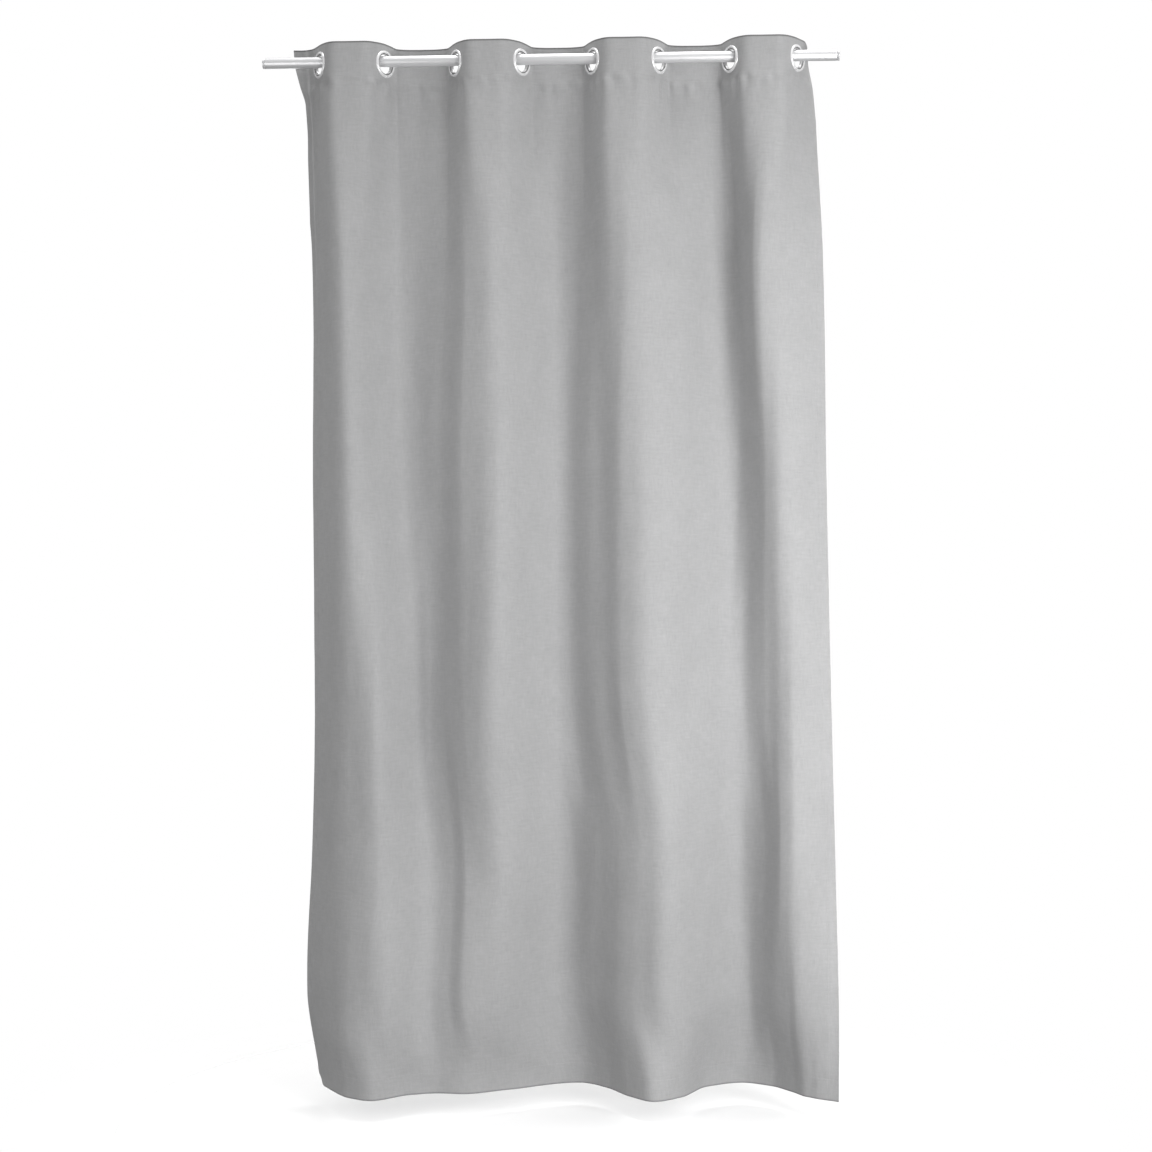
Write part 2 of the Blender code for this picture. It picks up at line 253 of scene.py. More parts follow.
TABLE_STEP = 0.001
CLOTH_STEP = 0.003  # along
DROP_STEP = 0.006  # down
HEAD_STEP = 0.0025  # down, in the heading and the bottom hem
RING_STEPS = 96
BORDER = [0.0, 0.0003, 0.0009]  # the first grid lines beside an edge, where its fold is rounded
BEYOND = 0.003  # from an edge or a hem's inner edge to where even steps start
BORDER_FULL = [0.30, 0.75, 1.0]  # the cloth's thickness there, as a share of the whole
HOLE_MARGIN = 0.002  # from a barrel to the cloth around it, under the ring's rim
NEAR_AXIS = 0.02  # along an eyelet's axis, what counts as at that eyelet
FAR = 9.0

LINEN = (0.405, 0.405, 0.408)
WARP_PITCH = 0.00075
WEFT_PITCH = 0.00080
YARN_WANDER = 1.6  # in yarns
NICKEL = (0.97, 0.97, 0.975)
ROD_STEEL = (0.80, 0.80, 0.81)
CAP_STEEL = (0.72, 0.72, 0.73)

CAMERA = (0.306, -4.466, -1.231)
CAMERA_YAW = 0.0546
CAMERA_PITCH = 0.0108
LENS = 61.29
FLOOR_BELOW = 0.05  # the hem
FLOOR_RADIUS = 3.0
FLOOR_STEPS = 96
AMBIENT = 0.55
# The world's grey as light, from straight below at 0 to straight above at 1
SKY = [(0.0, 0.35), (0.30, 0.30), (0.42, 0.22), (0.50, 0.45), (0.62, 1.0), (1.0, 1.0)]

lowest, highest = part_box("panel_1")
top_z, bottom_z = highest.z, lowest.z
heading_z = top_z - HEADING_DEPTH
pitch = (PANEL_WIDTH - 2 * SIDE_MARGIN) / (EYELETS - 1)
table = np.linspace(0.0, PANEL_WIDTH, round(PANEL_WIDTH / TABLE_STEP) + 1)


def ease(value, start, end):
    """From 0 at the start to 1 at the end, level at both."""
    share = np.clip((value - start) / (end - start), 0.0, 1.0)
    return share * share * (3 - 2 * share)


def eyelet_along(number):
    """An eyelet's place along the cloth, counted from 1 at the left."""
    return SIDE_MARGIN + (number - 1) * pitch


def eyelet_angle(number):
    """The cloth comes forward through odd eyelets and goes back through even ones."""
    return -EYELET_TURN if number % 2 else EYELET_TURN


def walk(angles):
    """The plan points of a cloth that runs at these angles, with its ends as far left as right of x = 0."""
    half = (angles[1:] + angles[:-1]) / 2
    steps = np.diff(table)
    x = np.concatenate([[0.0], np.cumsum(np.cos(half) * steps)])
    y = np.concatenate([[0.0], np.cumsum(np.sin(half) * steps)])
    return np.stack([x - x[-1] / 2, y - y.mean()])


def heading_section():
    """(angles, middle, span) of the heading: straight through eyelets, level at crests and troughs."""
    nearest = np.clip(np.round((table - SIDE_MARGIN) / pitch), 0, EYELETS - 1) + 1
    beyond = table - SIDE_MARGIN - (nearest - 1) * pitch
    odd = nearest % 2 == 1
    in_front = np.where(odd, beyond > 0, beyond < 0)
    bend = np.where(in_front, FRONT_BEND, BACK_BEND)
    bend = np.where(table < SIDE_MARGIN, LEFT_BEND, bend)
    bend = np.where(table > PANEL_WIDTH - SIDE_MARGIN, RIGHT_BEND, bend)
    eased = np.clip((np.abs(beyond) - seat) / bend, 0.0, 1.0)
    angles = np.where(odd, -1.0, 1.0) * EYELET_TURN * (0.5 + 0.5 * np.cos(math.pi * eased))
    points = walk(angles)
    ends = [np.interp(eyelet_along(k), table, points[0]) for k in (1, EYELETS)]
    rod_y = np.mean([np.interp(eyelet_along(k + 1), table, points[1]) for k in range(EYELETS)])
    return angles, np.array([EYELET_ROW_X - sum(ends) / 2, -rod_y]), 2 * points[0][-1]


def through(x, folds):
    """The smooth line through the folds' points that is level only at crests and troughs."""
    fold_x, fold_y = np.array(folds).T
    steps = np.diff(fold_x)
    slopes = np.diff(fold_y) / steps
    before, after = slopes[:-1], slopes[1:]
    same_way = before * after > 0
    level = np.where(same_way, 2 * before * after / np.where(same_way, before + after, 1.0), 0.0)
    level = np.concatenate([slopes[:1], level, slopes[-1:]])
    i = np.clip(np.searchsorted(fold_x, x, "right") - 1, 0, len(steps) - 1)
    t = (x - fold_x[i]) / steps[i]
    start = (2 * t**3 - 3 * t**2 + 1) * fold_y[i] + (t**3 - 2 * t**2 + t) * steps[i] * level[i]
    return start + (3 * t**2 - 2 * t**3) * fold_y[i + 1] + (t**3 - t**2) * steps[i] * level[i + 1]


def fold_section(folds):
    """(angles, middle, span) of smooth folds, deepened until they take the cloth's whole width."""
    folds = [(heading_left + share * heading_span, y) for share, y in folds]
    x = np.linspace(folds[0][0], folds[-1][0], 4 * len(table))
    y = through(x, folds)
    shallow, deep = 0.0, 4.0
    for _ in range(40):
        depth = (shallow + deep) / 2
        lengths = np.hypot(np.diff(x), depth * np.diff(y))
        if lengths.sum() < PANEL_WIDTH:
            shallow = depth
        else:
            deep = depth
    along = np.concatenate([[0.0], np.cumsum(lengths)]) * PANEL_WIDTH / lengths.sum()
    slopes = np.arctan2(depth * np.diff(y), np.diff(x))
    angles = np.interp(table, (along[1:] + along[:-1]) / 2, slopes)
    middle_y = np.interp(table, along, depth * y).mean()
    return angles, np.array([(x[0] + x[-1]) / 2, middle_y]), x[-1] - x[0]


ring_low, ring_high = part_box("eyelet_front_1")
eyelet_radius = (ring_high.z - ring_low.z) / 2
eyelet_z = (ring_high.z + ring_low.z) / 2
bore_radius = eyelet_radius - RIM_WIDTH
barrel_radius = bore_radius + BARREL_WALL
seat = eyelet_radius + SEAT_RIM
groove_radius = bore_radius + GROOVE_INSET
heading = heading_section()
heading_span = heading[2]
heading_left = heading[1][0] - heading_span / 2
section_z = np.array([heading_z] + [share * bottom_z for share in FOLDS])
sections = [heading] + [fold_section(folds) for folds in FOLDS.values()]


def section_weights(z):
    """How much of each section the cloth has at this height, along a smooth curve through them all."""
    if z >= section_z[0]:
        return [1.0] + [0.0] * (len(sections) - 1)
    i = min(int(np.searchsorted(-section_z, -z, "right")) - 1, len(sections) - 2)
    every = np.eye(len(sections))
    rate = np.zeros_like(every)
    rate[1:-1] = (every[2:] - every[:-2]) / (section_z[2:] - section_z[:-2])[:, None]
    step = section_z[i + 1] - section_z[i]
    t = (z - section_z[i]) / step
    start = (2 * t**3 - 3 * t**2 + 1) * every[i] + (t**3 - 2 * t**2 + t) * step * rate[i]
    return start + (3 * t**2 - 2 * t**3) * every[i + 1] + (t**3 - t**2) * step * rate[i + 1]


def plan_at(z):
    """(x, y) of the cloth's middle surface at this height, over the table.

    Between two sections the angles are mixed, and turned up or down until the cloth has the mixed span.
    """
    weights = section_weights(z)
    angles, middle, span = (sum(w * part for w, part in zip(weights, parts)) for parts in zip(*sections))
    low, high = 0.5, 2.0
    for _ in range(30):
        gain = (low + high) / 2
        if 2 * walk(gain * angles)[0][-1] > span:
            low = gain
        else:
            high = gain
    return walk(gain * angles) + middle[:, None]


eyelet_x = [float(np.interp(eyelet_along(k + 1), table, plan_at(0.0)[0])) for k in range(EYELETS)]


def noise(along, down, wide, tall, seed):
    """Smooth random values, mostly from -1 to 1, with lumps of about this width and height."""
    across, up = along / wide + 4, down / tall + 4
    lattice = np.random.default_rng(seed).uniform(-1.8, 1.8, (int(up.max()) + 5, int(across.max()) + 5))
    column, row = np.floor(across).astype(int), np.floor(up).astype(int)

    def weights(f):
        """Of the four lattice values around a place, for a smooth cubic through the lattice."""
        return [
            (1 - f) ** 3 / 6,
            (3 * f**3 - 6 * f**2 + 4) / 6,
            (-3 * f**3 + 3 * f**2 + 3 * f + 1) / 6,
            f**3 / 6,
        ]

    total = np.zeros_like(across)
    for i, wi in enumerate(weights(up - row)):
        for j, wj in enumerate(weights(across - column)):
            total += wi * wj * lattice[row + i - 1, column + j - 1]
    return total


def spaced(start, end, step):
    """Even steps from start to end, without the end."""
    return list(np.linspace(start, end, max(1, round((end - start) / step)), endpoint=False))


def rows_down():
    """The rows' distances from the top edge, closer together in the hems and at their inner edges."""
    hem = PANEL_HEIGHT - BOTTOM_HEM
    far = [PANEL_HEIGHT - d for d in BORDER[::-1]]
    return np.array(
        BORDER
        + spaced(BEYOND, HEADING_DEPTH - HEM_EDGE, HEAD_STEP)
        + [HEADING_DEPTH - HEM_EDGE, HEADING_DEPTH, HEADING_DEPTH + HEM_EDGE]
        + spaced(HEADING_DEPTH + BEYOND, hem - HEM_EDGE, DROP_STEP)
        + [hem - HEM_EDGE, hem, hem + HEM_EDGE]
        + spaced(hem + 0.002, far[0] - 0.001, HEAD_STEP)
        + far
    )


def columns_along(x):
    """(places, cuts): where the grid's columns are in a row, and which of them lie at eyelets."""
    hem = [SIDE_HEM - HEM_EDGE, SIDE_HEM, SIDE_HEM + HEM_EDGE]
    edge = BORDER + spaced(BEYOND, hem[0], CLOTH_STEP) + hem
    left, right = SIDE_HEM + BEYOND, PANEL_WIDTH - SIDE_HEM - BEYOND
    stops = [left, *np.interp(eyelet_x[1:-1], x, table), right]
    flat = [left, *[eyelet_along(k) for k in range(2, EYELETS)], right]
    places, cuts = list(edge), []
    for a, b, fa, fb in zip(stops, stops[1:], flat, flat[1:]):
        places += list(np.linspace(a, b, round((fb - fa) / CLOTH_STEP), endpoint=False))
        cuts.append(len(places))
    places += [right] + [PANEL_WIDTH - d for d in edge[::-1]]
    return np.array(places), cuts[:-1]


def facing_front(points):
    """The unit normals of a grid of points, towards the front."""
    across = np.gradient(points, axis=1)
    down = np.gradient(points, axis=0)
    normals = np.cross(down, across)
    return normals / np.linalg.norm(normals, axis=2, keepdims=True)


def ring_distance(points):
    """How far each point is from the nearest eyelet's axis."""
    nearest = np.full(points.shape[:2], FAR)
    for number, x in enumerate(eyelet_x, 1):
        away = points - (x, 0.0, eyelet_z)
        angle = eyelet_angle(number)
        axial = away[..., 0] * math.sin(angle) - away[..., 1] * math.cos(angle)
        apart = np.sqrt(np.maximum((away**2).sum(2) - axial**2, 0.0))
        nearest = np.minimum(nearest, np.where(np.abs(axial) < NEAR_AXIS, apart, FAR))
    return nearest


class Cloth:
    """The whole cloth's middle surface as a grid of points, rows down and columns along."""

    def __init__(self):
        self.rows = rows_down()
        places, points = [], []
        for down in self.rows:
            z = top_z - down
            x, y = plan_at(z)
            row, self.cuts = columns_along(x)
            places.append(row)
            row_x, row_y = np.interp(row, table, x), np.interp(row, table, y)
            points.append(np.stack([row_x, row_y, np.full(len(row), z)], 1))
        self.along = np.array(places)
        self.points = np.array(points)
        self.down = np.repeat(self.rows[:, None], self.along.shape[1], 1)

    def droop(self):
        """Lets the top edge hang a little between the eyelets."""
        between = np.clip((self.along - SIDE_MARGIN) / pitch, 0.0, EYELETS - 1)
        sag = 1 - np.cos(math.pi * between) ** 4
        self.points[..., 2] -= DROOP * sag * (1 - ease(self.down, 0.0, DROOP_REACH))

    def tuck(self):
        """Draws the cloth's side edges in or out near the top, and rounds the hem's left corner."""
        for near, turns, inwards in (
            (self.along, LEFT_TUCK, 1.0),
            (PANEL_WIDTH - self.along, RIGHT_TUCK, -1.0),
        ):
            inner = through(np.minimum(self.down, turns[-1][0]), turns)
            share = np.clip(1 - near / (SIDE_MARGIN - seat), 0.0, 1.0) ** 1.3
            self.points[..., 0] += inwards * inner * share
            self.points[..., 1] += TUCK_BACK * inner * share
        corner = np.clip(1 - self.along / CORNER, 0.0, 1.0)
        corner = (corner * np.clip(1 - (PANEL_HEIGHT - self.down) / CORNER, 0.0, 1.0)) ** 2
        self.points[..., 0] += CORNER_IN * corner
        self.points[..., 2] += CORNER_UP * corner

    def wrinkle(self, height, wide, tall, seed):
        """One kind of wrinkle over the whole cloth."""
        return height * noise(self.along, self.down, wide, tall, seed)

    def crease(self):
        """Soft wrinkles, none where the eyelets hold the cloth flat."""
        s, t = self.along, self.down
        edge = np.minimum(s, PANEL_WIDTH - s)
        hem = PANEL_HEIGHT - t
        below = t - HEADING_DEPTH
        body = ease(t, HEADING_DEPTH, 0.45)
        under_heading = np.exp(-np.abs(below - 0.010) / 0.022) * ease(below, -0.02, 0.010)
        at_side_hem = np.exp(-np.abs(edge - SIDE_HEM) / 0.012) * body
        at_bottom_hem = np.exp(-np.abs(hem - BOTTOM_HEM) / 0.02)
        at_ridge = np.exp(-(((s - SIDE_HEM) / 0.0035) ** 2)) * ease(t, 0.04, 0.12) * (1 - ease(t, 0.4, 0.7))
        at_corner = ease(s, PANEL_WIDTH - 0.16, PANEL_WIDTH - 0.09) * ease(t, 1.6, 2.1)
        depth = body * (self.wrinkle(*WAVES) + self.wrinkle(*RIPPLES))
        depth += (0.25 + 0.75 * body) * self.wrinkle(*FINE_CREASES)
        depth += under_heading * self.wrinkle(*HEADING_PUCKERS)
        depth += at_side_hem * self.wrinkle(*SIDE_PUCKERS)
        depth += at_bottom_hem * self.wrinkle(*HEM_PUCKERS)
        depth += at_ridge * HEM_RIDGE
        depth += at_corner * self.wrinkle(*CORNER_CREASES)
        depth *= ease(ring_distance(self.points), seat, 2 * seat)
        self.points += facing_front(self.points) * depth[..., None]

    def surfaces(self):
        """(front, back, normals): the two faces of the cloth, with its hems' layers behind it."""
        s, t = self.along, self.down
        edge = np.minimum(s, PANEL_WIDTH - s)
        hem = PANEL_HEIGHT - t
        in_heading, in_side_hem, in_bottom_hem = (
            1 - ease(away, width - HEM_EDGE, width + HEM_EDGE)
            for away, width in ((t, HEADING_DEPTH), (edge, SIDE_HEM), (hem, BOTTOM_HEM))
        )
        turned = np.maximum(in_side_hem, in_bottom_hem)
        behind = SKIN + np.maximum(TAPE_AND_FACING * in_heading, TURNING * turned)
        rim = np.minimum(np.minimum(edge, hem), t)
        full = np.interp(rim, BORDER, BORDER_FULL)
        middle = (behind - SKIN) / 2
        normals = facing_front(self.points)
        front = self.points + normals * (SKIN * full - middle * (1 - full))[..., None]
        back = self.points - normals * (middle + (behind - middle) * full)[..., None]
        return front, back, normals


def strip_mesh(name, cloth, first, last, keep):
    """A closed piece of the cloth between two columns, with shading that runs on into its neighbours."""
    front, back, normals = (part[:, first : last + 1] for part in cloth.faces)
    keep = keep[:, first:last]
    height, width = front.shape[:2]
    index = np.arange(height * width).reshape(height, width)
    corners = np.stack([index[:-1, :-1], index[1:, :-1], index[1:, 1:], index[:-1, 1:]], 2)[keep]
    starts, ends = corners.ravel(), np.roll(corners, -1, 1).ravel()
    size = height * width
    open_edges = ~np.isin(starts * size + ends, ends * size + starts)
    a, b = starts[open_edges], ends[open_edges]
    behind = corners[:, ::-1] + size
    rim = np.stack([b, a, a + size, b + size], 1)
    quads = np.concatenate([corners, behind, rim])
    used, quads = np.unique(quads, return_inverse=True)
    quads = quads.reshape(-1, 4)
    points = np.concatenate([front.reshape(-1, 3), back.reshape(-1, 3)])[used]
    flat = np.stack([cloth.along[:, first : last + 1].ravel(), cloth.down[:, first : last + 1].ravel()], 1)
    flat = np.concatenate([flat, flat])[used]
    side = (used >= size).astype(float)
    mesh = bpy.data.meshes.new(name)
    mesh.from_pydata(points, [], quads)
    mesh.shade_smooth()
    place = mesh.attributes.new("cloth", "FLOAT_VECTOR", "POINT")
    place.data.foreach_set("vector", np.column_stack([flat, side]).astype(np.float32).ravel())
    smooth = np.concatenate([normals.reshape(-1, 3), -normals.reshape(-1, 3)])[used]
    loops = smooth[quads.ravel()].reshape(-1, 4, 3)
    first_rim = len(corners) + len(behind)
    p = points[quads[first_rim:]]
    across = np.cross(p[:, 2] - p[:, 0], p[:, 3] - p[:, 1])
    across /= np.maximum(np.linalg.norm(across, axis=1, keepdims=True), 1e-12)
    loops[first_rim:] = across[:, None]
    mesh.normals_split_custom_set(loops.reshape(-1, 3))
    return mesh


def show(name, mesh, finish, body=None):
    """Puts a mesh in the scene with its material and slot, carried by a body if one is named."""
    mesh.materials.clear()
    mesh.materials.append(finish)
    obj = bpy.data.objects.new(name, mesh)
    bpy.context.scene.collection.objects.link(obj)
    if body:
        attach(obj, body)
    return obj


def surface_at(cloth, along, down, behind):
    """(points, normals, columns) on the front or back of the cloth at these places."""
    front, back, normals = cloth.faces
    face, turned = (back, -1.0) if behind else (front, 1.0)
    points, facing, columns = [], [], []
    for s, t in zip(along, down):
        row = min(max(np.searchsorted(cloth.rows, t) - 1, 0), len(cloth.rows) - 2)
        share = (t - cloth.rows[row]) / (cloth.rows[row + 1] - cloth.rows[row])
        found = []
        for r, w in ((row, 1 - share), (row + 1, share)):
            column = float(np.interp(s, cloth.along[r], np.arange(cloth.along.shape[1])))
            c = min(int(column), cloth.along.shape[1] - 2)
            f = column - c
            found.append((w, face[r, c] * (1 - f) + face[r, c + 1] * f, normals[r, c], column))
        points.append(sum(w * p for w, p, _, _ in found))
        facing.append(sum(w * n for w, _, n, _ in found) * turned)
        columns.append(sum(w * c for w, _, _, c in found))
    facing = np.array(facing)
    return np.array(points), facing / np.linalg.norm(facing, axis=1, keepdims=True), np.array(columns)


def stitch_lines():
    """(along, down, direction) of each stitch's middle, direction being 0 along the cloth and 1 down it."""
    places = []
    for t in (HEADING_DEPTH - STITCH_INSIDE, PANEL_HEIGHT - BOTTOM_HEM + STITCH_INSIDE):
        for s in np.arange(STITCH_PITCH, PANEL_WIDTH - STITCH_PITCH, STITCH_PITCH):
            places.append((s, t, 0))
    for s in (SIDE_HEM - STITCH_INSIDE, PANEL_WIDTH - SIDE_HEM + STITCH_INSIDE):
        for t in np.arange(HEADING_DEPTH, PANEL_HEIGHT - STITCH_PITCH, STITCH_PITCH):
            places.append((s, t, 1))
    return np.array(places)


def stitch_mesh(name, centres, directions, normals):
    """Short threads that arch over the cloth and dip into it at both ends."""
    turns, stations = 6, np.array([-1.0, -0.65, 0.0, 0.65, 1.0])
    lift = THREAD_RADIUS * (0.9 - 1.6 * stations**4)
    thick = THREAD_RADIUS * np.sqrt(1 - 0.75 * stations**2)
    side = np.cross(directions, normals)
    points, quads = [], []
    around = 2 * math.pi * np.arange(turns) / turns
    for n, (c, d, up, across) in enumerate(zip(centres, directions, normals, side)):
        base = n * turns * len(stations)
        for i, (u, h, r) in enumerate(zip(stations, lift, thick)):
            middle = c + d * u * STITCH_LENGTH / 2 + up * h
            points += [middle + r * (math.cos(a) * up + math.sin(a) * across) for a in around]
        for i in range(len(stations) - 1):
            for j in range(turns):
                k = (j + 1) % turns
                at = base + i * turns
                quads.append((at + j, at + turns + j, at + turns + k, at + k))
        quads.append(tuple(base + j for j in range(turns)))
        quads.append(tuple(base + (len(stations) - 1) * turns + j for j in range(turns))[::-1])
    mesh = bpy.data.meshes.new(name)
    mesh.from_pydata(points, [], quads)
    mesh.shade_smooth()
    return mesh


def turned_mesh(name, outline, steps, closed, axis):
    """The outline, as (radius, height), turned about an axis: Z, or X for the rod."""
    around = 2 * math.pi * np.arange(steps) / steps
    radius, height = np.array(outline).T
    x = np.cos(around)[:, None] * radius
    y = np.sin(around)[:, None] * radius
    z = np.repeat(height[None], steps, 0)
    points = np.stack([x, y, z] if axis == "Z" else [z, x, y], 2)
    count = len(outline)
    index = np.arange(steps * count).reshape(steps, count)
    right = np.roll(index, -1, 0)
    if closed:
        down, down_right = np.roll(index, -1, 1), np.roll(right, -1, 1)
        quads = np.stack([index, down, down_right, right], 2).reshape(-1, 4)
        faces = quads.tolist()
    else:
        quads = np.stack([index[:, :-1], index[:, 1:], right[:, 1:], right[:, :-1]], 2).reshape(-1, 4)
        faces = quads.tolist() + [index[:, 0].tolist(), index[::-1, -1].tolist()]
    mesh = bpy.data.meshes.new(name)
    mesh.from_pydata(points.reshape(-1, 3), [], faces)
    mesh.shade_smooth()
    mesh.set_sharp_from_angle(angle=math.radians(50))
    return mesh


def arc(centre, radii, start, end, count):
    """Points (radius, height) on part of an ellipse, by angle in degrees from the outward direction."""
    turned = np.radians(np.linspace(start, end, count))
    return [(centre[0] + radii[0] * math.cos(a), centre[1] + radii[1] * math.sin(a)) for a in turned]


def front_ring_outline():
    """From the crown over the rim, down the barrel, round its lip, up the collar and out of the groove."""
    front = SKIN - RING_BED
    reach = SKIN + TAPE_AND_FACING + BACK_RING
    crown = bore_radius + CROWN_WIDTH
    height = SKIN + CROWN_HEIGHT
    floor = front + GROOVE_FLOOR
    slope = groove_radius - GROOVE_WIDTH - bore_radius
    dome = arc((crown, front), (eyelet_radius - crown, height - front), 90, 0, 14)
    under = [(eyelet_radius - RING_SINK, front - RING_SINK), (barrel_radius, front - RING_SINK)]
    roll = arc((barrel_radius, -reach), (LIP, LIP), 90, -90, 8)
    roll += arc((barrel_radius, -reach), (barrel_radius - bore_radius, LIP), -90, -180, 6)[1:]
    collar_height = floor + COLLAR_RISE + reach - LIP
    collar = arc((bore_radius + slope, -reach + LIP), (slope, collar_height), 180, 90, 16)
    groove = [(groove_radius - 0.7 * GROOVE_WIDTH, floor), (groove_radius, floor)]
    throat_foot = floor + THROAT_RISE
    throat = arc((crown, throat_foot), (crown - groove_radius, height - throat_foot), 180, 90, 12)[:-1]
    return dome + under + roll + collar + groove + throat


def back_ring_outline():
    """A flat washer behind the facing, with its outer edge rounded."""
    top = -(SKIN + TAPE_AND_FACING - BACK_BED)
    inner, outer = barrel_radius + GAP, eyelet_radius - BACK_RIM
    return (
        [(inner, top), (outer, top)]
        + arc((outer - BACK_RIM, top - BACK_RING + BACK_RIM), (BACK_RIM, BACK_RIM), 0, -90, 8)
        + [(inner, top - BACK_RING)]
    )


def build_eyelets(nickel):
    for number, x in enumerate(eyelet_x, 1):
        for name, outline in (("eyelet_front", front_ring_outline()), ("eyelet_back", back_ring_outline())):
            mesh = turned_mesh(f"{name}_shown_{number}", outline, RING_STEPS, True, "Z")
            radii = np.tile([r for r, _ in outline], RING_STEPS).astype(np.float32)
            mesh.attributes.new("radius", "FLOAT", "POINT").data.foreach_set("value", radii)
            turn = Matrix.Rotation(eyelet_angle(number), 4, "Z") @ Matrix.Rotation(math.pi / 2, 4, "X")
            mesh.transform(Matrix.Translation((x, 0.0, eyelet_z)) @ turn)
            ring = show(mesh.name, mesh, nickel, f"eyelet_{number}")
            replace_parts(ring, f"{name}_{number}")


def build_rod(steel, capping):
    low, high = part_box("rod_tube")
    radius = (high.z - low.z) / 2
    inside = radius - ROD_WALL
    round_end = (ROD_FILLET, ROD_FILLET)
    outline = [(radius, high.x - ROD_FILLET), (radius, low.x + ROD_FILLET)]
    outline += arc((radius - ROD_FILLET, low.x + ROD_FILLET), round_end, 0, -90, 4)[1:]
    outline += [(inside, low.x), (inside, high.x)]
    outline += arc((radius - ROD_FILLET, high.x - ROD_FILLET), round_end, 90, 0, 4)[:-1]
    mesh = turned_mesh("rod_tube_shown", outline, RING_STEPS, True, "X")
    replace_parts(show(mesh.name, mesh, steel, "rod"), "rod_tube")
    for side, name in ((-1, "rod_cap_left"), (1, "rod_cap_right")):
        low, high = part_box(name)
        outer = high.x if side > 0 else -low.x
        shoulder = outer - CAP_WIDTH
        spigot = inside - GAP
        outline = [(CAP_CENTRE, outer)]
        outline += arc((radius - CAP_FILLET, outer - CAP_FILLET), (CAP_FILLET, CAP_FILLET), 90, 0, 6)
        outline += [(radius, shoulder + GAP), (radius - GAP, shoulder), (spigot, shoulder)]
        outline += [(spigot, shoulder - CAP_SPIGOT), (CAP_CENTRE, shoulder - CAP_SPIGOT)]
        mesh = turned_mesh(f"{name}_shown", outline, RING_STEPS, False, "X")
        if side < 0:
            mesh.transform(Matrix.Rotation(math.pi, 4, "Z"))
        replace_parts(show(mesh.name, mesh, capping, "rod"), name)


def build_cloth(linen, thread):
    """The cloth in strips, each between two eyelets, and the stitches of its hems."""
    cloth = Cloth()
    cloth.droop()
    cloth.tuck()
    cloth.crease()
    cloth.faces = cloth.surfaces()
    away = ring_distance(cloth.points)
    clear = away > barrel_radius + HOLE_MARGIN
    keep = clear[:-1, :-1] & clear[1:, :-1] & clear[1:, 1:] & clear[:-1, 1:]
    places = stitch_lines()
    stitches = []
    for behind in (False, True):
        points, normals, columns = surface_at(cloth, places[:, 0], places[:, 1], behind)
        reach = STITCH_LENGTH / 2
        ahead = places[:, :2] + np.where(places[:, 2:] > 0, (0.0, reach), (reach, 0.0))
        onward, _, _ = surface_at(cloth, ahead[:, 0], ahead[:, 1], behind)
        directions = onward - points
        directions /= np.linalg.norm(directions, axis=1, keepdims=True)
        stitches.append((points, directions, normals, columns))
    stitches = [np.concatenate(parts) for parts in zip(*stitches)]
    ends = [0, *cloth.cuts, cloth.along.shape[1] - 1]
    for number, (first, last) in enumerate(zip(ends, ends[1:]), 1):
        mesh = strip_mesh(f"cloth_{number}", cloth, first, last, keep)
        strip = show(mesh.name, mesh, linen)
        centres, directions, normals, columns = stitches
        mine = (columns >= first) & (columns < last)
        mesh = stitch_mesh(f"stitches_{number}", centres[mine], directions[mine], normals[mine])
        sewing = show(mesh.name, mesh, thread)
        for obj in (strip, sewing):
            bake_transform(obj)
        last_strip = number + 1 == EYELETS
        for k in [number, EYELETS] if last_strip else [number]:
            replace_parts(strip, f"panel_{k}", f"heading_tape_{k}", f"heading_facing_{k}", f"bottom_hem_{k}")
        if number == 1:
            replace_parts(strip, "side_hem_left")
        if last_strip:
            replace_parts(strip, "side_hem_right")


def grey_stops(ramp, stops):
    for n, (place, grey) in enumerate(stops):
        stop = ramp.elements[n] if n < 2 else ramp.elements.new(place)
        stop.position = place
        stop.color = (grey, grey, grey, 1.0)


